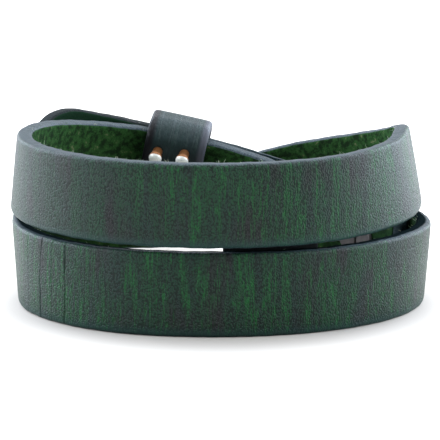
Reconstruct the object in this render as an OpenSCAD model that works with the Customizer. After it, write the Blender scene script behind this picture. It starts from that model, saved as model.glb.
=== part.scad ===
// Leather bracelet: one long strap wound twice round the wrist hollow. Its two ends overlap
// at the back, where a leather keeper holds them together. The strap crosses itself there,
// on its way from the upper turn down to the lower one.

/* [Strap] */
// Thickness of the strap's leather
strap_t = 2.4; // [2:0.1:2.5]
// Radius of the burnished edges
edge_r = 0.55; // [0.3:0.05:0.8]
// Depth of the wound bracelet, front to back, over its width
depth_ratio = 1.04; // [1:0.01:1.06]
// Length of the tail's rounded tip
tip_l = 8; // [5:1:12]

/* [Keeper] */
// Where the keeper sits, in degrees from the back centre towards the left
keeper_at = 13.3; // [12.5:0.1:14]
// Width of the keeper along the strap
keeper_w = 9.4; // [8.4:0.2:9.6]
// Thickness of the keeper's walls
keeper_t = 1.8; // [1.4:0.1:1.9]
// Room between the keeper and the strap
keeper_gap = 0.5; // [0.45:0.05:0.55]

/* [Rivets and studs] */
// Distance between the two rivets
rivet_pitch = 4.1; // [3.9:0.1:4.6]
// Height of the rivets above the keeper's middle
rivets_up = 4.4; // [3.8:0.1:4.6]
// Distance from the keeper's middle to the rivets' middle, towards the tail
rivets_off = 0.5; // [0:0.1:0.9]
// Degrees by which the row of rivets is turned against the keeper
rivets_turn = 8; // [0:1:10]
// Diameter of a keeper rivet's rounded head
rivet_d = 2.1; // [1.9:0.1:2.4]
// Height of that head
rivet_h = 1; // [0.8:0.1:1.1]
// Diameter of the rivet's neck
neck_d = 1.6; // [1.5:0.1:1.8]
// Height of that neck between the keeper and the head
neck_h = 2.8; // [1:0.1:3]
// Diameter of the posts of the rivets and the studs
post_d = 1.4; // [1.2:0.1:1.6]
// Diameter of a stud's flat cap
stud_d = 4.4; // [3.6:0.1:4.6]
// Thickness of that cap
stud_h = 0.6; // [0.4:0.1:0.8]
// Where the first stud sits, in degrees from the back centre towards the right
stud_at = 55.6; // [53:0.2:56]
// Distance between the two studs
stud_pitch = 5.1; // [4.8:0.1:5.4]

/* [Joining tab] */
// Width of the tab along the turns
tab_w = 16.2; // [12:0.2:17]
// Height of the tab across the turns
tab_h = 11; // [8:1:14]
// Thickness of the tab
tab_t = 1.2; // [1:0.1:1.5]

/* [Hidden] */

// The route of the strap's middle, from its inner end to its tail.
// turn: degrees round from the back centre, towards the left and then the front.
// radius: distance from the hollow's axis, at the sides.
// height: height of the strap's middle above the floor.
// lean: degrees by which the strap's top leans inwards.
// width: width of the strap.
TURN = 0;
RADIUS = 1;
HEIGHT = 2;
LEAN = 3;
WIDTH = 4;
route = [
  [-86, 28.0, 6.2, -5, 12.2],
  [-66, 26.9, 6.3, -1, 12.2],
  [-45, 26.9, 7.1, 3, 12.2],
  [-20, 27.7, 10.3, 8, 12.2],
  [0, 28.4, 13.1, 10, 12.2],
  [12, 30.1, 14.5, 12, 12.2],
  [25, 32.1, 15.95, 13, 12.2],
  [40, 32.6, 17.3, 14, 12.2],
  [55, 31.8, 18.35, 14, 12.3],
  [72, 30.6, 19.1, 12, 12.4],
  [90, 30.1, 19.35, 6, 12.4],
  [120, 30.4, 19.35, 1, 12.4],
  [150, 31.3, 19.35, -1, 12.4],
  [180, 31.5, 19.35, -2, 12.4],
  [210, 30.7, 19.35, 2, 12.4],
  [240, 29.3, 19.55, 9, 12.4],
  [270, 29.1, 19.5, 11, 12.5],
  [290, 31.4, 18.65, 9, 12.4],
  [302, 33.2, 17.25, 8, 12.3],
  [315, 34.4, 15.6, 6, 12.2],
  [340, 36.0, 12.0, 4, 12.3],
  [365, 38.1, 6.95, 2, 12.4],
  [385, 41.0, 6.25, 0, 12.4],
  [400, 39.9, 6.2, -1, 12.4],
  [420, 34.6, 6.2, -4, 12.4],
  [435, 31.2, 6.2, -5, 12.4],
  [450, 30.0, 6.2, -5, 12.4],
  [480, 30.8, 6.17, 1, 12.4],
  [510, 31.3, 6.17, 3, 12.4],
  [540, 30.7, 6.18, 3, 12.4],
  [570, 31.2, 6.16, -1, 12.4],
  [600, 31.5, 6.17, -2, 12.4],
  [630, 31.0, 6.1, -5, 12.2],
  [655, 29.7, 6.3, 0, 12.4],
  [675, 29.7, 7.3, 3, 12.3],
  [700, 30.4, 10.2, 8, 12.3],
  [720, 31.1, 13.0, 10, 12.3],
  [732, 32.9, 14.7, 11, 12.3],
  [745, 35.3, 16.5, 10, 12.3],
  [757, 36.35, 18.25, 5, 12.3],
  [773, 36.5, 20.4, 1, 12.3],
];
// The hollow's axis, seen from the middle of the whole bracelet's box
hollow_x = -0.39;
hollow_y = -3.35;

// Sections along the strap, and degrees between two of them
strap_steps = 180;
first_turn = route[0][TURN];
last_turn = route[len(route) - 1][TURN];
tip_steps = 8;
// Points round each corner of a section
corner_points = 3;
full_turn = 360;
// Small angle that gives the direction of the route
nudge = 0.5;
// Size of the block under the floor, larger than the bracelet
floor_size = 100;

// Slope of one column of the route at row i, from the rows on both sides
function slope(col, i) =
  let (
    a = route[max(i - 1, 0)],
    b = route[min(i + 1, len(route) - 1)]
  )
  (b[col] - a[col]) / (b[TURN] - a[TURN]);

// Row of the route just before a turn angle
function row_before(t, i = 0) =
  i >= len(route) - 2 || t < route[i + 1][TURN] ? i : row_before(t, i + 1);

// Smooth value of one column of the route at a turn angle
function along(col, t) =
  let (
    i = row_before(t),
    a = route[i],
    b = route[i + 1],
    span = b[TURN] - a[TURN],
    u = (t - a[TURN]) / span,
    rise = u * u * (3 - 2 * u),
    start_bend = u * (1 - u) * (1 - u),
    end_bend = u * u * (u - 1)
  )
  a[col] + (b[col] - a[col]) * rise
  + span * (slope(col, i) * start_bend + slope(col, i + 1) * end_bend);

function unit(v) = v / norm(v);

// Middle of the strap at a turn angle
function middle(t) =
  let (r = along(RADIUS, t))
  [hollow_x - r * sin(t), hollow_y + depth_ratio * r * cos(t), along(HEIGHT, t)];

function direction(t) = unit(middle(t + nudge) - middle(t - nudge));

// Outward and upward directions of the strap, before and after it leans
function flat_up(t) =
  let (d = direction(t), up = [0, 0, 1])
  unit(up - d * (d * up));
function flat_out(t) = cross(direction(t), flat_up(t));
function across(t) =
  let (lean = along(LEAN, t))
  flat_up(t) * cos(lean) - flat_out(t) * sin(lean);
function outward(t) =
  let (lean = along(LEAN, t))
  flat_out(t) * cos(lean) + flat_up(t) * sin(lean);

// Point at a turn angle, so far out from the strap's middle and so far up across it
function place(t, out, up) = middle(t) + outward(t) * out + across(t) * up;

// Turn angle that lies a distance further along the strap
function further(t, distance) =
  let (mm_per_degree = norm(middle(t + nudge) - middle(t - nudge)) / (2 * nudge))
  t + distance / mm_per_degree;

// Rounded rectangle as [out, up] pairs, thick by wide, with n points round each corner
function rounded(thick, wide, r, n = corner_points) =
  let (c = min(r, thick / 2 - 0.01, wide / 2 - 0.01))
  [
    for (k = [0:3], j = [0:n - 1])
      let (
        a = 90 * (k + j / (n - 1)),
        sx = k == 0 || k == 3 ? 1 : -1,
        sy = k < 2 ? 1 : -1
      )
      [sx * (thick / 2 - c) + c * cos(a), sy * (wide / 2 - c) + c * sin(a)]
  ];

// Loop of points for a section at a turn angle
function section(t, shape) = [for (p = shape) place(t, p[0], p[1])];

// Triangles between the loops of a sweep, whose loops all have n points
function side_faces(loops, n, flip = false) = [
  for (i = [0:loops - 2], j = [0:n - 1])
    let (
      a = i * n + j,
      b = i * n + (j + 1) % n,
      c = a + n,
      d = b + n
    )
    each flip ? [[a, d, b], [a, c, d]] : [[a, b, d], [a, d, c]]
];

// Solid that runs through a list of loops, with flat ends
module sweep(loops) {
  n = len(loops[0]);
  last = (len(loops) - 1) * n;
  polyhedron(
    points = [for (l = loops, p = l) p],
    faces = concat(
      side_faces(len(loops), n),
      [[for (j = [n - 1:-1:0]) j]],
      [[for (j = [0:n - 1]) last + j]]
    )
  );
}

// Section of the strap, narrowed towards the tip of the tail
function strap_section(t, narrow = 1) =
  section(t, rounded(strap_t, along(WIDTH, t) * narrow, edge_r));

module strap() {
  tip_start = further(last_turn, -tip_l);
  step = (tip_start - first_turn) / strap_steps;
  body = [for (i = [0:strap_steps]) strap_section(first_turn + i * step)];
  tip = [
    for (i = [1:tip_steps])
      let (a = 84 * i / tip_steps)
      strap_section(further(last_turn, -tip_l * (1 - sin(a))), cos(a))
  ];
  color("darkslategray")
  difference() {
    sweep(concat(body, tip));
    for (number = [1, 2])
      at_stud(number)
      translate([0, 0, -1])
      cylinder(d = post_d + 2 * post_gap, h = strap_t + 1.02, $fn = 48);
    // The lower turn's edge is worn flat where it rests on the floor
    translate([-floor_size / 2, -floor_size / 2, -floor_size])
    cube(floor_size);
  }
}

// Midway between the strap at a turn angle and the strap some whole turns later
function later(t, turns) = t + turns * full_turn;
function mid_middle(t, turns) = (middle(t) + middle(later(t, turns))) / 2;
function mid_out(t, turns) = unit(outward(t) + outward(later(t, turns)));
function mid_up(t, turns) = unit(across(t) + across(later(t, turns)));
function mid_place(t, turns, out, up) =
  mid_middle(t, turns) + mid_out(t, turns) * out + mid_up(t, turns) * up;

// The keeper holds the first layer and the one two turns later. Its walls keep one outward
// and one upward direction, so that it is as wide outside as inside.
held = 2;
keeper_out = mid_out(keeper_at, held);
keeper_up = mid_up(keeper_at, held);
function layers_apart(t, way) = abs((middle(later(t, held)) - middle(t)) * way);
function keeper_hole_t(t) = layers_apart(t, keeper_out) + strap_t + 2 * keeper_gap;
function keeper_hole_w(t) =
  layers_apart(t, keeper_up) + along(WIDTH, later(t, held)) + 2 * keeper_gap;
keeper_steps = 6;
keeper_corner_points = 6;
keeper_inner_r = 0.8;
keeper_outer_r = 3.8;

// Loops of points round the keeper, a wall's thickness out from its hole
function keeper_loops(wall, r) = [
  for (i = [0:keeper_steps])
    let (
      t = further(keeper_at, keeper_w * (i / keeper_steps - 0.5)),
      thick = keeper_hole_t(t) + 2 * wall,
      wide = keeper_hole_w(t) + 2 * wall
    )
    for (p = rounded(thick, wide, r, keeper_corner_points))
      mid_middle(t, held) + keeper_out * p[0] + keeper_up * p[1]
];

module keeper_loop() {
  n = 4 * keeper_corner_points;
  loops = keeper_steps + 1;
  inner = loops * n;
  last = (loops - 1) * n;
  polyhedron(
    points = concat(
      keeper_loops(keeper_t, keeper_outer_r),
      keeper_loops(0, keeper_inner_r)
    ),
    faces = concat(
      side_faces(loops, n),
      [for (f = side_faces(loops, n, true)) [for (i = f) i + inner]],
      ring_faces(0, inner, n),
      ring_faces(last + inner, last, n)
    )
  );
}

// Triangles of a ring-shaped end, between loops of n points that start at a and at b
function ring_faces(a, b, n) = [
  for (j = [0:n - 1])
    let (k = (j + 1) % n)
    each [[a + j, b + k, a + k], [a + j, b + j, b + k]]
];

// Moves a shape to a point, its z axis along a surface's outward direction
module set_at(point, out, up) {
  z = out;
  x = unit(cross(up, z));
  y = cross(z, x);
  multmatrix([
    [x[0], y[0], z[0], point[0]],
    [x[1], y[1], z[1], point[1]],
    [x[2], y[2], z[2], point[2]],
    [0, 0, 0, 1]
  ])
  children();
}

// Room between the metal and the leather: under a cap, and round a post
seat_gap = 0.2;
post_gap = 0.1;

// To a rivet's place: its origin on the keeper's inner face
module at_rivet(side) {
  from_row = side * rivet_pitch / 2;
  t = further(keeper_at, rivets_off + from_row * cos(rivets_turn));
  face = -keeper_hole_t(t) / 2 - keeper_t;
  up = rivets_up - from_row * sin(rivets_turn);
  point = mid_middle(t, held) + keeper_out * face + keeper_up * up;
  set_at(point, keeper_out, keeper_up) children();
}

// Rivet with a rounded head, a neck and a post that ends inside the keeper's wall
module rivet(side) {
  dome_r = (pow(rivet_d / 2, 2) + pow(rivet_h, 2)) / (2 * rivet_h);
  neck_end = seat_gap + neck_h;
  head_end = neck_end + rivet_h;
  color("darkgoldenrod")
  at_rivet(side) {
    intersection() {
      translate([0, 0, dome_r - head_end]) sphere(r = dome_r, $fn = 48);
      translate([0, 0, -head_end]) cylinder(d = rivet_d, h = rivet_h, $fn = 48);
    }
    translate([0, 0, -neck_end - rivet_h / 2])
    cylinder(d = neck_d, h = neck_h + rivet_h / 2, $fn = 48);
    translate([0, 0, -seat_gap - neck_h / 2])
    cylinder(d = post_d, h = keeper_t + neck_h / 2, $fn = 48);
  }
}

module keeper_rivet_1() { rivet(1); }
module keeper_rivet_2() { rivet(-1); }

module keeper() {
  color("darkslategray")
  difference() {
    keeper_loop();
    for (side = [1, -1])
      at_rivet(side)
      translate([0, 0, -1])
      cylinder(d = post_d + 2 * post_gap, h = keeper_t + 2, $fn = 48);
  }
}

// To a stud's place: its origin on the inner face of the strap's inner end
module at_stud(number) {
  t = further(-stud_at, -(number - 1) * stud_pitch);
  set_at(place(t, -strap_t / 2, 0), outward(t), across(t)) children();
}

// Stud with a flat cap and a post that ends inside the strap
module stud(number) {
  color("rosybrown")
  at_stud(number) {
    translate([0, 0, -seat_gap - stud_h]) cylinder(d = stud_d, h = stud_h, $fn = 48);
    translate([0, 0, -seat_gap - stud_h / 2])
    cylinder(d = post_d, h = strap_t + stud_h / 2, $fn = 48);
  }
}

module stud_1() { stud(1); }
module stud_2() { stud(2); }

// Where the tab starts, in degrees round the upper turn, and its room to the two turns
tab_from = 181.6;
tab_gap = 0.85;
tab_steps = 6;
tab_edge_r = 0.3;

// Tab inside the front, behind the slit between the upper turn and the one after it
module joining_tab() {
  out = -strap_t / 2 - tab_gap - tab_t / 2;
  color("darkslategray")
  sweep([
    for (i = [0:tab_steps])
      let (t = further(tab_from, tab_w * i / tab_steps))
      [for (p = rounded(tab_t, tab_h, tab_edge_r)) mid_place(t, 1, out + p[0], p[1])]
  ]);
}

strap();
keeper();
keeper_rivet_1();
keeper_rivet_2();
stud_1();
stud_2();
joining_tab();
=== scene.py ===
import math
import random

import bmesh
import bpy
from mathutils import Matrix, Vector


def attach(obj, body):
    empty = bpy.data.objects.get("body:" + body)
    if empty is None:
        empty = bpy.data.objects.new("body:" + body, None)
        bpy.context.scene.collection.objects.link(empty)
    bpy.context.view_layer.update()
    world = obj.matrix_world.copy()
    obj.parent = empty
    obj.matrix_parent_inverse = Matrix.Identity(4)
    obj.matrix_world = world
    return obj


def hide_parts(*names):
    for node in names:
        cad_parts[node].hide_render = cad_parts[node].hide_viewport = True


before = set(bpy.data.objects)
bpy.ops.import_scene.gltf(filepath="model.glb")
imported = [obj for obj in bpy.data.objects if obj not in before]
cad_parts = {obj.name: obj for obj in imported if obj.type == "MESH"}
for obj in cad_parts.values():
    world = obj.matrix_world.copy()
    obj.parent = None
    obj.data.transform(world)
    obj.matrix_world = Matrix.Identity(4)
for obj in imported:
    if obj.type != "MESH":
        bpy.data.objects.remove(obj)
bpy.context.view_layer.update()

# The camera looks from the front and a little above, from about half a metre away
# through a long lens, as the photograph was taken. Its aim is on the wrist hollow's axis.
mm = 0.001
hollow_x, hollow_y, aim_height = -0.39, -3.35, 12.6
aim = Vector((hollow_x, hollow_y, aim_height)) * mm
camera_rise = math.radians(9.678)
camera_distance = 523.8 * mm
towards_camera = Vector((0, -math.cos(camera_rise), math.sin(camera_rise)))
camera_data = bpy.data.cameras.new("camera")
camera_data.lens, camera_data.sensor_width = 277.9, 36
camera_data.shift_x, camera_data.shift_y = 0.0053, -0.0147
camera_data.clip_start = 0.01
camera = bpy.data.objects.new("camera", camera_data)
camera.location = aim + towards_camera * camera_distance
camera.rotation_euler = (math.pi / 2 - camera_rise, 0, 0)
bpy.context.collection.objects.link(camera)
bpy.context.scene.camera = camera


# The studio: a white table that runs into a white backdrop, two soft boxes behind the
# bracelet, two in front of it at its sides, and a large soft light above.
class Wire:
    """A value in a material's node tree that takes part in plain arithmetic."""

    def __init__(self, look, socket):
        self.look = look
        self.socket = socket

    def maths(self, kind, *others):
        """A Math node on this value and others."""
        return self.look.node("Math", {"operation": kind}, dict(enumerate((self, *others))))

    def __add__(self, other):
        return self.maths("ADD", other)

    __radd__ = __add__

    def __mul__(self, other):
        return self.maths("MULTIPLY", other)

    __rmul__ = __mul__

    def __sub__(self, other):
        return self.maths("SUBTRACT", other)

    def __rsub__(self, other):
        return -self + other

    def __neg__(self):
        return self * -1

    def size(self):
        return self.maths("ABSOLUTE")

    def most(self, other):
        return self.maths("MAXIMUM", other)

    def between(self, low, high):
        """0 below low, 1 above high, and a smooth step between."""
        ends = {"Value": self, "From Min": low, "From Max": high}
        return self.look.node("MapRange", {"interpolation_type": "SMOOTHSTEP"}, ends)

    def within(self, low, high, rise, fall):
        """1 from low to high and 0 outside, with a soft rise and fall inside the ends."""
        return self.between(low, low + rise) * (1 - self.between(high - fall, high))


class Look:
    """A material, with one way to add any node and short ways for the usual ones."""

    def __init__(self, name):
        self.material = bpy.data.materials.new(name)
        self.material.use_nodes = True
        self.tree = self.material.node_tree
        self.shader = self.tree.nodes["Principled BSDF"]

    def plug(self, sockets, values):
        """Links each wire to its socket, and sets each plain value on its own."""
        for name, value in values.items():
            if isinstance(value, Wire):
                self.tree.links.new(value.socket, sockets[name])
            else:
                sockets[name].default_value = value

    def node(self, kind, settings, values, output=0):
        """Any node: its type, its settings, and the values or wires of its sockets."""
        made = self.tree.nodes.new("ShaderNode" + kind)
        for name, setting in settings.items():
            setattr(made, name, setting)
        self.plug(made.inputs, values)
        return Wire(self, made.outputs[output])

    def vector(self, kind, *places, output="Vector"):
        return self.node("VectorMath", {"operation": kind}, dict(enumerate(places)), output)

    def stretched(self, place, lengths, shift=0.0):
        """A place with each of its three lengths multiplied."""
        return self.vector("MULTIPLY_ADD", place, lengths, (shift, shift, shift))

    def noise(self, place, scale, detail=3.0, rough=0.55, bend=0.0, shift=0.0):
        """Cloudy noise round 0.5, with one scale, or three that stretch it."""
        if isinstance(scale, tuple):
            place, scale = self.stretched(place, scale, shift), 1.0
        values = {"Scale": scale, "Detail": detail, "Roughness": rough, "Distortion": bend}
        return self.node("TexNoise", {}, {"Vector": place, **values})

    def mix(self, share, a, b):
        """Colour a where the share is 0, and colour b where it is 1."""
        # a Mix node has a set of sockets for each kind of value, and these are the colours'
        return self.node("Mix", {"data_type": "RGBA"}, {0: share, 6: a, 7: b}, 2)

    def raised(self, height, strength, distance):
        """The surface's direction where it rises to a height."""
        return self.node("Bump", {}, {"Height": height, "Strength": strength, "Distance": distance})

    def set(self, values):
        self.plug(self.shader.inputs, values)

    def matt(self, share, colour, normal):
        """Blends the shader with one that has no gloss at all."""
        plain = {"Base Color": colour, "Roughness": 1.0, "Specular IOR Level": 0.0, "Normal": normal}
        sides = {1: Wire(self, self.shader.outputs[0]), 2: self.node("BsdfPrincipled", {}, plain)}
        both = self.node("MixShader", {}, {0: share, **sides})
        self.plug(self.tree.nodes["Material Output"].inputs, {"Surface": both})


table_look = Look("table_white")
# the bracelet's shade is a soft oval patch, and the table glows white outside it
shade_middle, shade_squeeze, shade_from, shade_to = (0, -0.0108, 0), 0.9, 0.024, 0.044
spot = table_look.node("NewGeometry", {}, {}, "Position")
oval = table_look.stretched(spot, (1, shade_squeeze, 0))
away = table_look.vector("DISTANCE", oval, shade_middle, output="Value")
table_look.set(
    {
        "Base Color": (0.405, 0.375, 0.352, 1),
        "Roughness": 0.7,
        "Specular IOR Level": 0.1,
        "Emission Color": table_look.mix(
            away.between(shade_from, shade_to), (0.0, 0.0, 0.0, 1), (0.9, 0.9, 0.9, 1)
        ),
        "Emission Strength": 1.0,
    }
)
# half its width, how far back it bends up, the bend's radius and its height, in metres
table_half, table_back, bend_r, backdrop_height = 1.2, 0.7, 0.3, 1.4
bend_steps = 12
profile = [(-table_half, 0.0), (table_back, 0.0)]
for i in range(1, bend_steps + 1):
    turn = math.pi / 2 * i / bend_steps
    profile.append((table_back + bend_r * math.sin(turn), bend_r * (1 - math.cos(turn))))
profile.append((table_back + bend_r, backdrop_height))
table_points = [(x, y, z) for y, z in profile for x in (-table_half, table_half)]
table_faces = [(2 * i, 2 * i + 1, 2 * i + 3, 2 * i + 2) for i in range(len(profile) - 1)]
table_mesh = bpy.data.meshes.new("table")
table_mesh.from_pydata(table_points, [], table_faces)
table_mesh.materials.append(table_look.material)
table = bpy.data.objects.new("table", table_mesh)
bpy.context.collection.objects.link(table)

middle_of_piece = Vector((0, 0, 0.013))
back_power, back_tint = 9.4, (0.71, 0.83, 1.0)
front_power, front_tint = 4.3, (0.90, 0.96, 1.0)
top_power, top_tint = 6.0, (0.86, 0.93, 1.0)
for name, place, width, power, tint in (
    ("left_box", (-0.5, 0.42, 0.25), 0.7, back_power, back_tint),
    ("right_box", (0.5, 0.42, 0.25), 0.7, back_power, back_tint),
    ("left_front", (-0.6, -0.12, 0.3), 0.5, front_power, front_tint),
    ("right_front", (0.6, -0.12, 0.3), 0.5, front_power, front_tint),
    ("top_box", (0.0, 0.05, 0.75), 0.7, top_power, top_tint),
):
    lamp = bpy.data.lights.new(name, "AREA")
    lamp.shape, lamp.size = "SQUARE", width
    lamp.energy, lamp.color = power, tint
    light = bpy.data.objects.new(name, lamp)
    light.location = place
    light.rotation_euler = (Vector(place) - middle_of_piece).to_track_quat("Z", "Y").to_euler()
    bpy.context.collection.objects.link(light)
world = bpy.data.worlds.new("studio_air")
world.use_nodes = True
world.node_tree.nodes["Background"].inputs["Color"].default_value = (0.92, 0.97, 1.0, 1)
world.node_tree.nodes["Background"].inputs["Strength"].default_value = 0.4
bpy.context.scene.world = world
bpy.context.scene.view_settings.view_transform = "Standard"


# The strap: one long piece of vegetable-tanned leather, dyed deep green by hand on
# its smooth side, with burnished edges and a suede inner side. It is cut from the
# hide with a strap cutter, wound twice round the wrist, and overlaps at the back.

# Its middle line, in the same columns as in the part's source: the turn angle, and
# the radius, height, lean and width there.
TURN, RADIUS, HEIGHT, LEAN, WIDTH = range(5)
route = [
    (-86, 28.0, 6.2, -5, 12.2),
    (-66, 26.9, 6.3, -1, 12.2),
    (-45, 26.9, 7.1, 3, 12.2),
    (-20, 27.7, 10.3, 8, 12.2),
    (0, 28.4, 13.1, 10, 12.2),
    (12, 30.1, 14.5, 12, 12.2),
    (25, 32.1, 15.95, 13, 12.2),
    (40, 32.6, 17.3, 14, 12.2),
    (55, 31.8, 18.35, 14, 12.3),
    (72, 30.6, 19.1, 12, 12.4),
    (90, 30.1, 19.35, 6, 12.4),
    (120, 30.4, 19.35, 1, 12.4),
    (150, 31.3, 19.35, -1, 12.4),
    (180, 31.5, 19.35, -2, 12.4),
    (210, 30.7, 19.35, 2, 12.4),
    (240, 29.3, 19.55, 9, 12.4),
    (270, 29.1, 19.5, 11, 12.5),
    (290, 31.4, 18.65, 9, 12.4),
    (302, 33.2, 17.25, 8, 12.3),
    (315, 34.4, 15.6, 6, 12.2),
    (340, 36.0, 12.0, 4, 12.3),
    (365, 38.1, 6.95, 2, 12.4),
    (385, 41.0, 6.25, 0, 12.4),
    (400, 39.9, 6.2, -1, 12.4),
    (420, 34.6, 6.2, -4, 12.4),
    (435, 31.2, 6.2, -5, 12.4),
    (450, 30.0, 6.2, -5, 12.4),
    (480, 30.8, 6.17, 1, 12.4),
    (510, 31.3, 6.17, 3, 12.4),
    (540, 30.7, 6.18, 3, 12.4),
    (570, 31.2, 6.16, -1, 12.4),
    (600, 31.5, 6.17, -2, 12.4),
    (630, 31.0, 6.1, -5, 12.2),
    (655, 29.7, 6.3, 0, 12.4),
    (675, 29.7, 7.3, 3, 12.3),
    (700, 30.4, 10.2, 8, 12.3),
    (720, 31.1, 13.0, 10, 12.3),
    (732, 32.9, 14.7, 11, 12.3),
    (745, 35.3, 16.5, 10, 12.3),
    (757, 36.35, 18.25, 5, 12.3),
    (773, 36.5, 20.4, 1, 12.3),
]
first_turn, last_turn = route[0][TURN], route[-1][TURN]
depth_ratio = 1.04
up_axis = Vector((0, 0, 1))


def slope(col, i):
    before, after = route[max(i - 1, 0)], route[min(i + 1, len(route) - 1)]
    return (after[col] - before[col]) / (after[TURN] - before[TURN])


def along(col, t):
    """Smooth value of one column of the route at a turn angle."""
    i = 0
    while i < len(route) - 2 and t >= route[i + 1][TURN]:
        i += 1
    a, b = route[i], route[i + 1]
    span = b[TURN] - a[TURN]
    u = (t - a[TURN]) / span
    return (
        a[col]
        + (b[col] - a[col]) * u * u * (3 - 2 * u)
        + span * (slope(col, i) * u * (1 - u) ** 2 + slope(col, i + 1) * u * u * (u - 1))
    )


def middle(t):
    r, a = along(RADIUS, t), math.radians(t)
    x, y = hollow_x - r * math.sin(a), hollow_y + depth_ratio * r * math.cos(a)
    return Vector((x, y, along(HEIGHT, t)))


def one_degree(t):
    """The step that the middle line takes in one degree of turn."""
    return middle(t + 0.5) - middle(t - 0.5)


def further(t, distance):
    """Turn angle that lies a distance further along the strap."""
    return t + distance / one_degree(t).length


def strap_frame(t):
    """Middle, outward and upward directions of the strap at a turn angle."""
    ahead = one_degree(t).normalized()
    flat_up = (up_axis - ahead * ahead.z).normalized()
    flat_out = ahead.cross(flat_up)
    lean = math.radians(along(LEAN, t))
    return (
        middle(t),
        flat_out * math.cos(lean) + flat_up * math.sin(lean),
        flat_up * math.cos(lean) - flat_out * math.sin(lean),
    )


def ring_shape(thick, wide, r, round_steps, out_steps, up_steps):
    """Rounded rectangle as (out, up) pairs, anticlockwise from the outer face's top."""
    points = []
    for corner in range(4):
        corner_x = (thick / 2 - r) * (1 if corner in (0, 3) else -1)
        corner_y = (wide / 2 - r) * (1 if corner < 2 else -1)
        for j in range(round_steps + 1):
            a = math.pi / 2 * (corner + j / round_steps)
            points.append((corner_x + r * math.cos(a), corner_y + r * math.sin(a)))
        # the straight side from this corner to the next one
        x, y = points[-1]
        end_x, end_y, steps = (-x, y, out_steps) if corner % 2 == 0 else (x, -y, up_steps)
        for j in range(1, steps):
            points.append((x + (end_x - x) * j / steps, y + (end_y - y) * j / steps))
    return points


def tube_faces(rows, n, first=0, joined=False):
    """Faces between rows of n points, with a cap on both ends unless the rows join up."""
    faces = []
    for i in range(rows if joined else rows - 1):
        a, b = first + i * n, first + (i + 1) % rows * n
        faces += [(a + j, a + (j + 1) % n, b + (j + 1) % n, b + j) for j in range(n)]
    if not joined:
        last = first + (rows - 1) * n
        faces += [tuple(range(first + n - 1, first - 1, -1)), tuple(range(last, last + n))]
    return faces


def shown(name, points, faces, flat_places=()):
    """Puts a mesh into the scene, with its faces turned outwards and shaded smooth.

    The flat places are kept as 'hide': where each point lay before the leather was bent.
    """
    mesh = bpy.data.meshes.new(name)
    mesh.from_pydata([p * mm for p in points], [], faces)
    if flat_places:
        hide = mesh.attributes.new("hide", "FLOAT_VECTOR", "POINT")
        hide.data.foreach_set("vector", [c for flat in flat_places for c in flat])
    shell = bmesh.new()
    shell.from_mesh(mesh)
    bmesh.ops.recalc_face_normals(shell, faces=shell.faces)
    shell.to_mesh(mesh)
    shell.free()
    mesh.polygons.foreach_set("use_smooth", [True] * len(mesh.polygons))
    piece = bpy.data.objects.new(name, mesh)
    bpy.context.collection.objects.link(piece)
    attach(piece, "root")
    return piece


def swept(name, rows, joined=False):
    """Skin through rows of points, each with its flat place."""
    points, flat_places = zip(*(pair for row in rows for pair in row))
    faces = tube_faces(len(rows), len(rows[0]), joined=joined)
    return shown(name, points, faces, flat_places)


strap_w, strap_t, edge_r, crown_h = 12.4, 2.4, 0.62, 0.06
outer_side = 1.0  # points further out than this are on the grain side
tip_l, tip_sweep, tip_steps = 8, 88, 14
strap_steps = 900
tip_start = further(last_turn, -tip_l)
strap_turns = [
    (first_turn + (tip_start - first_turn) * i / strap_steps, 1.0) for i in range(strap_steps + 1)
]
for i in range(1, tip_steps + 1):
    a = math.radians(tip_sweep * i / tip_steps)
    strap_turns.append((further(last_turn, -tip_l * (1 - math.sin(a))), math.cos(a)))
# creases across the lower turn, at the left: turn angle and depth
creases = [(485, 0.11), (496, 0.13), (477.5, 0.05), (490.5, 0.05)]
# their half width in mm, their reach in degrees, and the extra rows on each side of one
crease_half, crease_reach, crease_rows, crease_row_gap = 0.15, 2, 6, 0.09
for where, _ in creases:
    strap_turns += [
        (further(where, i * crease_row_gap), 1.0) for i in range(-crease_rows, crease_rows + 1)
    ]
strap_turns.sort()


def creased(t, y):
    """Depth of the creases at a turn angle and a height across the strap."""
    depth = 0.0
    for where, deepest in creases:
        if abs(t - where) < crease_reach:
            # each runs across in a slow and a quick wave, and is deeper in places
            off = (t - where) * one_degree(t).length
            off += 0.18 * math.sin(0.45 * y + where) + 0.07 * math.sin(1.7 * y + 2 * where)
            fading = 0.75 + 0.25 * math.sin(0.7 * y + 3 * where)
            depth += deepest * math.exp(-((off / crease_half) ** 2)) * fading
    return depth


strap_rows, runs = [], []
travelled, before = 0.0, middle(first_turn)
for t, narrow in strap_turns:
    centre, out_way, up_way = strap_frame(t)
    travelled += (centre - before).length
    before = centre
    runs.append((t, travelled))
    # the cut edges wander a little, as a strap cutter leaves them
    wander = 0.05 * math.sin(travelled * 0.9) + 0.04 * math.sin(travelled * 2.3 + 1)
    wide = (along(WIDTH, t) + wander) * narrow
    r = min(edge_r, wide / 2 - 0.01)
    row = []
    for x, y in ring_shape(strap_t, wide, r, 5, 3, 16):
        swell = 0.0
        if x > outer_side:
            swell = crown_h * (1 - (2 * y / strap_w) ** 2) - creased(t, y)
        row.append((centre + out_way * (x + swell) + up_way * y, (travelled, y, x)))
    strap_rows.append(row)
strap = swept("wound_strap", strap_rows)


def run_at(t):
    """Distance along the strap at a turn angle."""
    return min(runs, key=lambda pair: abs(pair[0] - t))[1]


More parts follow.
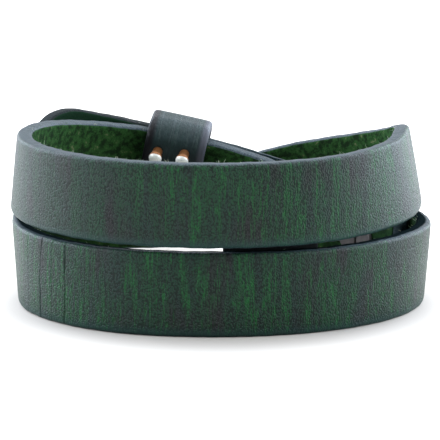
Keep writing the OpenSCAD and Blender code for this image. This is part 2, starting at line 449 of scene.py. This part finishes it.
def leather(
    name,
    thick,
    colours,
    streaky=0.3,
    pebbly=0.0,
    edge_from=0.12,
    crease_runs=(),
    sheen_band_top=None,
    calm=None,
    dark=None,
    rims=(),
):
    """Dyed leather: a streaked grain side, a suede inner side and burnished edges.

    sheen_band_top is the top of a smoother band along the lower edge that is painted
    lighter as a reflection of the white table, calm is a stretch with fewer streaks, and dark is
    where the lower turn's painted shade and the darker tail begin. Rims are stretches of
    another colour, such as painted highlight or painted shade: their middle, half width and colour.
    """
    look = Look(name)
    place = look.node("Attribute", {"attribute_name": "hide"}, {}, "Vector")
    parts = look.node("SeparateXYZ", {}, {0: place}).socket.node
    run, up, out = (Wire(look, end) for end in parts.outputs)

    # the grain side: green bands over slate, with fine bright streaks in the bands
    patches = look.noise(place, (0.13, 0.05, 0.02), 2.0)
    bands = look.noise(place, (0.5, 0.05, 0.05), 2.0, 0.5, 0.4, shift=5.0)
    streaks = look.noise(place, (2.2, 0.16, 0.1), 3.0, 0.6, 0.9, shift=7.0)
    hairlines = look.noise(place, (5.6, 0.6, 0.4), 3.0, 0.6, 1.2, shift=3.0)
    threads = look.noise(place, (1.25, 0.085, 0.1), 2.0, 0.45, 0.5, shift=9.0)
    wander = look.node("TexNoise", {}, {"Vector": place, "Scale": 1.5}, "Color")
    pebble_place = look.stretched(look.mix(0.08, place, wander), (4.6, 3.2, 2.0))
    pebbles = look.node(
        "TexVoronoi",
        {"feature": "SMOOTH_F1"},
        {"Vector": pebble_place, "Scale": 1.0, "Smoothness": 0.25},
    )
    dip = (pebbles + (hairlines - 0.5) * 0.2).between(0.38, 0.62)
    off_thread = (threads + (hairlines - 0.5) * 0.10 + (pebbles - 0.4) * 0.05 - 0.5).size()
    unbroken = (streaks * 0.6 + hairlines * 0.4).between(0.36, 0.50)
    thread = (1 - off_thread.between(0.006, 0.040)) * unbroken
    in_band = (bands * 0.8 + streaks * 0.5 + (patches - 0.5) * 0.5).between(0.46, 0.78)
    bright = bands * 0.7 + streaks * 0.8 + hairlines * 0.9 - 0.7 + (patches - 0.5) * 0.4
    bright = (bright.between(0.56, 0.80) * 0.6).most(thread * (in_band * 0.85 + 0.1))
    if calm:
        bright = bright * (1 - run.within(*calm, 4, 12) * 0.8)
    grain = look.mix(patches.between(0.34, 0.50), colours["slate_a"], colours["slate_b"])
    grain = look.mix(in_band * streaky, grain, colours["band"])
    grain = look.mix(bright * streaky, grain, colours["streak"])
    # painted shade in the hollows between the grain's pebbles, less where the streaks are bright
    grain = look.mix(dip * pebbly * (0.88 - bright * 0.6), grain, (0.001, 0.004, 0.003, 1))
    relief = (1 - dip) * pebbly * 2.1 + hairlines * (0.1 + pebbly * 0.7) + streaks * 0.4
    relief = relief - thread * in_band * 0.8
    if sheen_band_top is not None:
        # painted reflection of the white table: a lighter teal band along the lower edge, where the
        # grain is also smoother
        low = 1 - up.between(sheen_band_top - 0.2, sheen_band_top + 1.6)
        grain = look.mix(low * 0.75, grain, colours["low"])
        relief = relief * (1 - low * 0.8)
    # painted shade along the creases
    for where in crease_runs:
        line = 1 - (run + (streaks - 0.5) * 0.3 - where).size().between(0.05, 0.3)
        grain = look.mix(line * 0.4, grain, (0.002, 0.009, 0.005, 1))

    # the suede side: green fluff, brown nap and pale bare tufts
    fluff = look.noise(place, (0.8, 0.8, 1.0), 5.0, 0.7, shift=11.0)
    nap = look.noise(place, (3.0, 3.0, 3.0), 3.0, 0.7)
    suede = look.mix(fluff.between(0.40, 0.56), (0.007, 0.019, 0.007, 1), (0.020, 0.066, 0.017, 1))
    suede = look.mix(nap.between(0.45, 0.75) * 0.6, suede, (0.010, 0.020, 0.006, 1))
    tufts = fluff.between(0.59, 0.69) * nap.between(0.35, 0.5)
    suede = look.mix(tufts * 0.6, suede, (0.15, 0.15, 0.08, 1))
    edge = look.mix(hairlines.between(0.35, 0.65), colours["edge_a"], colours["edge_b"])

    # painted shade: the slit's inner edges, the lower turn's suede and the strap's inner end are
    # painted darker where shade falls, and the tail's edges and suede are painted darker too
    dull = 0.0
    if dark:
        lower_from, tail_from = dark
        in_slit = run.within(lower_from, lower_from + 170, 8, 20) * (1 - out.between(0.2, 0.6))
        on_lower = run.between(lower_from - 40, lower_from - 20)
        on_tail = run.between(tail_from, tail_from + 8)
        at_inner_end = 1 - run.between(14, 26)
        dull = in_slit.most(on_tail * 0.45)
        edge = look.mix(in_slit.most(on_tail), edge, (0.005, 0.009, 0.010, 1))
        suede = look.mix(on_lower * 0.75, suede, (0.002, 0.008, 0.003, 1))
        suede = look.mix(on_tail * 0.85, suede, (0.007, 0.025, 0.013, 1))
        suede = look.mix(at_inner_end * 0.6, suede, (0.002, 0.010, 0.004, 1))

    # where the three meet, counted outwards from the middle of the leather
    face, bevel = thick / 2, 0.33
    inside = (-out).between(face - 0.18, face - 0.06)
    on_edge = (1 - inside) * (1 - out.between(face - edge_from - bevel, face - edge_from))
    relief = relief * (1 - inside) * (1 - on_edge * 0.7) + nap * inside * 2.0
    skin = look.mix(on_edge, grain, edge)
    for where, reach, rim in rims:
        skin = look.mix(1 - (run - where).size().between(reach * 0.5, reach), skin, rim)
    skin = look.mix(inside, skin, suede)
    bumps = look.raised(relief, 0.58, 0.00015)
    look.set(
        {
            "Base Color": skin,
            "Roughness": 0.42 + inside * 0.5 + on_edge * 0.1 + (hairlines - 0.5) * 0.2,
            "Normal": bumps,
            "Specular IOR Level": 0.18,
        }
    )
    if dark:
        look.matt((on_edge * dull).most(inside * 0.7), skin, bumps)
    return look.material


strap_colours = {
    "slate_a": (0.018, 0.016, 0.020, 1),
    "slate_b": (0.011, 0.027, 0.023, 1),
    "band": (0.007, 0.037, 0.018, 1),
    "streak": (0.005, 0.092, 0.018, 1),
    # low: the painted reflection of the white table along the lower edge
    "low": (0.012, 0.038, 0.036, 1),
    "edge_a": (0.011, 0.020, 0.028, 1),
    "edge_b": (0.033, 0.053, 0.062, 1),
}
calm_from, calm_to, lower_from_turn, tail_from_turn = 60, 172, 432, 722
strap.data.materials.append(
    leather(
        "strap_green_leather",
        strap_t,
        strap_colours,
        streaky=0.9,
        pebbly=0.85,
        crease_runs=[run_at(where) for where, _ in creases],
        sheen_band_top=-6.0,
        calm=(run_at(calm_from), run_at(calm_to)),
        dark=(run_at(lower_from_turn), run_at(tail_from_turn)),
    )
)
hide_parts("strap")


# Pale fibres that stand out of the strap's cut edges, where the dye has not reached.
# They are short hairs of the hide itself.
random.seed(8)
fibre_count, fibre_r, fibre_taper = 150, 0.035, 0.8
# small clumps along the upper turn's inner top edge
clump_turns = (42, 43, 57, 58, 117, 128, 134, 151, 154, 158, 166, 180, 192)
clump_size, clump_r = 3, 0.055
fibre_rings, fibre_sides = 4, 3
fibre_points, fibre_faces = [], []


def circle(centre, side, back, r, steps):
    """Points round a centre, in the plane of two directions."""
    turns = [2 * math.pi * k / steps for k in range(steps)]
    return [centre + side * (r * math.cos(a)) + back * (r * math.sin(a)) for a in turns]


def fibre(root, way, length, bend, r):
    """A thin tapering hair with three sides, from its root along a bent line."""
    side = way.cross(up_axis).normalized()
    back = way.cross(side).normalized()
    fibre_faces.extend(tube_faces(fibre_rings, fibre_sides, first=len(fibre_points)))
    for ring in range(fibre_rings):
        u = ring / (fibre_rings - 1)
        centre = root + way * (length * u) + bend * (length * u * u)
        ring_r = r * (1 - fibre_taper * u)
        fibre_points.extend(circle(centre, side, back, ring_r, fibre_sides))


def bent_by(most):
    """How far a fibre's end is bent off its line, at random."""
    return Vector([random.uniform(-most, most) for _ in range(3)])


for _ in range(fibre_count):
    t = random.uniform(first_turn + 4, tip_start - 4)
    centre, out_way, up_way = strap_frame(t)
    top = random.choice((1, 1, 1, -1))
    if top < 0 and t > lower_from_turn - 2:
        continue  # the lower turn stands on that edge
    edge_up = top * (along(WIDTH, t) / 2 - random.uniform(0.02, 0.1))
    root = centre - out_way * random.uniform(0.6, 1.15) + up_way * edge_up
    sideways = up_way.cross(out_way) * random.uniform(-1, 1)
    way = up_way * (top * random.uniform(0.0, 0.5)) + sideways
    way = (way - out_way * random.uniform(0.1, 0.8)).normalized()
    bend = bent_by(0.5)
    fibre(root, way, random.uniform(0.25, 0.7), bend, fibre_r)
for t in clump_turns:
    for _ in range(clump_size):
        at = t + random.uniform(-0.5, 0.5)
        centre, out_way, up_way = strap_frame(at)
        edge_up = along(WIDTH, at) / 2 - 0.1
        root = centre - out_way * random.uniform(0.9, 1.15) + up_way * edge_up
        way = up_way + out_way * random.uniform(-0.8, 0.3)
        way = (way + up_way.cross(out_way) * random.uniform(-0.8, 0.8)).normalized()
        length = random.uniform(0.15, 0.4)
        fibre(root, way, length, bent_by(0.3), clump_r)
edge_fibres = shown("edge_fibres", fibre_points, fibre_faces)
fibre_look = Look("pale_fibre")
fibre_place = fibre_look.node("TexCoord", {}, {}, "Object")
fibre_shade = fibre_look.noise(fibre_place, 900.0, 1.0, 0.5).between(0.4, 0.6)
fibre_look.set(
    {
        "Base Color": fibre_look.mix(fibre_shade, (0.10, 0.16, 0.09, 1), (0.35, 0.38, 0.28, 1)),
        "Roughness": 0.8,
    }
)
edge_fibres.data.materials.append(fibre_look.material)


# The keeper: a short strip of the same leather, bent into a loop round the two ends
# of the strap, with its own ends butted together behind them. Its edges are burnished.
held = 2 * 360
keeper_at, keeper_w, keeper_t, keeper_gap = 13.3, 9.4, 1.8, 0.5
keeper_inner_r, keeper_outer_r, keeper_edge_r, keeper_crown = 0.8, 3.8, 0.75, 0.12
# where on the hide the strip was cut, and how far it goes on from point to point
keeper_cut, keeper_step = 40, 0.22


def between_layers(t, turns):
    """Middle and directions halfway from the strap to a later turn of it, and the way there."""
    centre_a, out_a, up_a = strap_frame(t)
    centre_b, out_b, up_b = strap_frame(t + turns)
    out_way, up_way = (out_a + out_b).normalized(), (up_a + up_b).normalized()
    return (centre_a + centre_b) / 2, out_way, up_way, centre_b - centre_a


_, keeper_out, keeper_up, _ = between_layers(keeper_at, held)


def keeper_hole(t):
    """Middle, thickness and width of the keeper's hole at a turn angle."""
    centre, _, _, apart = between_layers(t, held)
    thick = abs(apart.dot(keeper_out)) + strap_t + 2 * keeper_gap
    wide = abs(apart.dot(keeper_up)) + along(WIDTH, t + held) + 2 * keeper_gap
    return centre, thick, wide


keeper_rows = []
for x, y in ring_shape(keeper_t, keeper_w, keeper_edge_r, 6, 2, 14):
    t = further(keeper_at, y)
    centre, thick, wide = keeper_hole(t)
    depth = x + keeper_t / 2
    r = keeper_inner_r + (keeper_outer_r - keeper_inner_r) * depth / keeper_t
    # the strip swells a little in the middle of its outer side
    swell = keeper_crown * math.cos(math.pi * y / keeper_w) * (x > 0.3)
    row = []
    for k, (a, b) in enumerate(ring_shape(thick + 2 * depth, wide + 2 * depth, r, 12, 8, 24)):
        a_out = a + math.copysign(swell, a) * (abs(b) < wide / 2)
        point = centre + keeper_out * a_out + keeper_up * b
        row.append((point, (y + keeper_cut, keeper_step * k, x)))
    keeper_rows.append(row)
keeper = swept("keeper_strip", keeper_rows, joined=True)
keeper_colours = {
    "slate_a": (0.022, 0.022, 0.031, 1),
    "slate_b": (0.016, 0.027, 0.030, 1),
    "band": (0.015, 0.034, 0.032, 1),
    "streak": (0.015, 0.042, 0.036, 1),
    "edge_a": (0.045, 0.043, 0.062, 1),
    "edge_b": (0.075, 0.072, 0.10, 1),
}
# painted highlight on the keeper's right cut side, where the light falls, and painted shade on its
# left cut side
painted_highlight_rim = (keeper_cut - keeper_w / 2, 1.4, (0.058, 0.062, 0.078, 1))
painted_shade_rim = (keeper_cut + keeper_w / 2, 1.5, (0.006, 0.006, 0.008, 1))
keeper.data.materials.append(
    leather(
        "keeper_leather",
        keeper_t,
        keeper_colours,
        streaky=0.4,
        pebbly=0.15,
        edge_from=0.02,
        rims=(painted_highlight_rim, painted_shade_rim),
    )
)
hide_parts("keeper")


# The keeper's two rivets: turned brass, with a neck that stands off the leather
# and a domed head. The head's pale colour is plating with a painted highlight, and the
# neck is brass painted darker, as in shade. Their posts are set in the keeper.
rivet_pitch, rivets_up, rivets_off, rivets_turn = 4.1, 4.4, 0.5, math.radians(8)
rivet_d, rivet_h, neck_d, neck_h, post_d, seat_gap = 2.1, 1.0, 1.6, 2.8, 1.4, 0.2
# how far the posts end inside the leather, and the height of the heads' upright rim
post_short, head_rim = 0.3, 0.1
head_from = seat_gap + neck_h
round_steps = 12


def turned(name, origin, axis, profile, steps=48):
    """Solid of revolution: rows of (height along the axis, radius)."""
    side = axis.cross(up_axis).normalized()
    back = axis.cross(side)
    points = []
    for height, r in profile:
        points += circle(origin + axis * height, side, back, r, steps)
    return shown(name, points, tube_faces(len(profile), steps))


def rivet_base(side):
    """Where a rivet stands on the keeper's inner face."""
    from_row = side * rivet_pitch / 2
    t = further(keeper_at, rivets_off + from_row * math.cos(rivets_turn))
    centre, thick, _ = keeper_hole(t)
    up = rivets_up - from_row * math.sin(rivets_turn)
    return centre - keeper_out * (thick / 2 + keeper_t) + keeper_up * up


rivet_profile = [
    (-keeper_t + post_short, post_d / 2),
    (seat_gap, post_d / 2),
    (seat_gap, neck_d / 2),
    (head_from, neck_d / 2),
    (head_from, rivet_d / 2 - 0.08),
    (head_from + 0.04, rivet_d / 2 - 0.01),
    (head_from + head_rim, rivet_d / 2),
]
for i in range(1, round_steps + 1):
    a = math.pi / 2 * i / round_steps
    height = head_from + head_rim + (rivet_h - head_rim) * math.sin(a)
    rivet_profile.append((height, max(rivet_d / 2 * math.cos(a), 0.01)))
# the pale plating and its painted highlight reach down to a slanting line at the head's foot, so
# more of the dark brass shows on the head's upper side
highlight_way = -keeper_out - keeper_up * 0.55
for number, side in ((1, 1), (2, -1)):
    base = rivet_base(side)
    rivet = turned(f"rivet_{number}", base, -keeper_out, rivet_profile)
    look = Look(f"plated_brass_highlight_{number}")
    place = look.node("TexCoord", {}, {}, "Object")
    height = look.vector("DOT_PRODUCT", place, highlight_way, output="Value") * (1 / mm)
    plating_and_highlight = (height - base.dot(highlight_way)).between(head_from + 0.05, head_from + 0.3)
    grime = look.noise(place, 2500.0, 3.0)
    look.set(
        {
            "Base Color": look.mix(plating_and_highlight, (0.17, 0.062, 0.014, 1), (0.78, 0.78, 0.74, 1)),
            "Metallic": 0.7 - plating_and_highlight * 0.5,
            "Roughness": 0.5 - plating_and_highlight * 0.15 + (grime - 0.5) * 0.2,
            "Normal": look.raised(grime, 0.15, 0.00003),
        }
    )
    rivet.data.materials.append(look.material)
    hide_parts(f"keeper_rivet_{number}")


# The two studs at the strap's inner end: turned brass with a satin pinkish nickel
# plating. Their flat caps lie on the suede, and their posts go into the leather.
stud_at, stud_pitch, stud_d, stud_h, rim_r = 55.6, 5.1, 4.4, 0.6, 0.14
stud_profile = [
    (-strap_t + post_short, post_d / 2),
    (seat_gap, post_d / 2),
    (seat_gap, stud_d / 2 - rim_r),
]
for i in range(1, round_steps + 1):
    a = -math.pi / 2 + math.pi * i / round_steps
    lift = rim_r if i <= round_steps / 2 else stud_h - rim_r
    height = seat_gap + lift + rim_r * math.sin(a)
    stud_profile.append((height, stud_d / 2 - rim_r + rim_r * math.cos(a)))
stud_profile.append((seat_gap + stud_h + 0.03, 0.01))
stud_look = Look("pinkish_nickel")
place = stud_look.node("TexCoord", {}, {}, "Object")
tarnish = stud_look.noise(place, 900.0, 4.0, 0.7)
scuffs = stud_look.noise(place, (6000, 1500, 6000), 2.0)
nickel_a, nickel_b = (0.090, 0.083, 0.086, 1), (0.122, 0.111, 0.113, 1)
stud_look.set(
    {
        "Base Color": stud_look.mix(tarnish.between(0.35, 0.65), nickel_a, nickel_b),
        "Metallic": 0.7,
        "Roughness": 0.38 + tarnish * 0.2,
        "Normal": stud_look.raised(scuffs, 0.1, 0.00002),
    }
)
for number in (1, 2):
    t = further(-stud_at, -(number - 1) * stud_pitch)
    centre, out_way, _ = strap_frame(t)
    stud = turned(f"cap_{number}", centre - out_way * (strap_t / 2), -out_way, stud_profile)
    stud.data.materials.append(stud_look.material)
    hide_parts(f"stud_{number}")


# The joining tab: a small flat piece of smooth dark leather behind the slit between
# the two turns, cut square and left straight from the knife. No fastener of it shows.
tab_w, tab_h, tab_t, tab_from, tab_gap, tab_edge_r = 16.2, 11, 1.2, 181.6, 0.85, 0.3
tab_steps, tab_corner, tab_cut = 56, 0.25, 90
tab_shift = -strap_t / 2 - tab_gap - tab_t / 2
tab_rows = []
for i in range(tab_steps + 1):
    so_far = tab_w * i / tab_steps
    centre, out_way, up_way, _ = between_layers(further(tab_from, so_far), 360)
    from_end = min(i, tab_steps - i)
    trim = tab_corner * (1 - min(from_end / 2, 1)) ** 2
    shape = ring_shape(tab_t - 2 * trim, tab_h - 2 * trim, tab_edge_r, 4, 3, 12)
    tab_rows.append(
        [
            (centre + out_way * (tab_shift + x) + up_way * y, (tab_cut + so_far, y, x))
            for x, y in shape
        ]
    )
tab = swept("slit_tab", tab_rows)
tab_colours = {
    "slate_a": (0.012, 0.012, 0.018, 1),
    "slate_b": (0.010, 0.012, 0.016, 1),
    "band": (0.010, 0.020, 0.018, 1),
    "streak": (0.010, 0.024, 0.020, 1),
    "edge_a": (0.05, 0.05, 0.06, 1),
    "edge_b": (0.12, 0.12, 0.13, 1),
}
tab.data.materials.append(leather("tab_dark_leather", tab_t, tab_colours))
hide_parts("joining_tab")
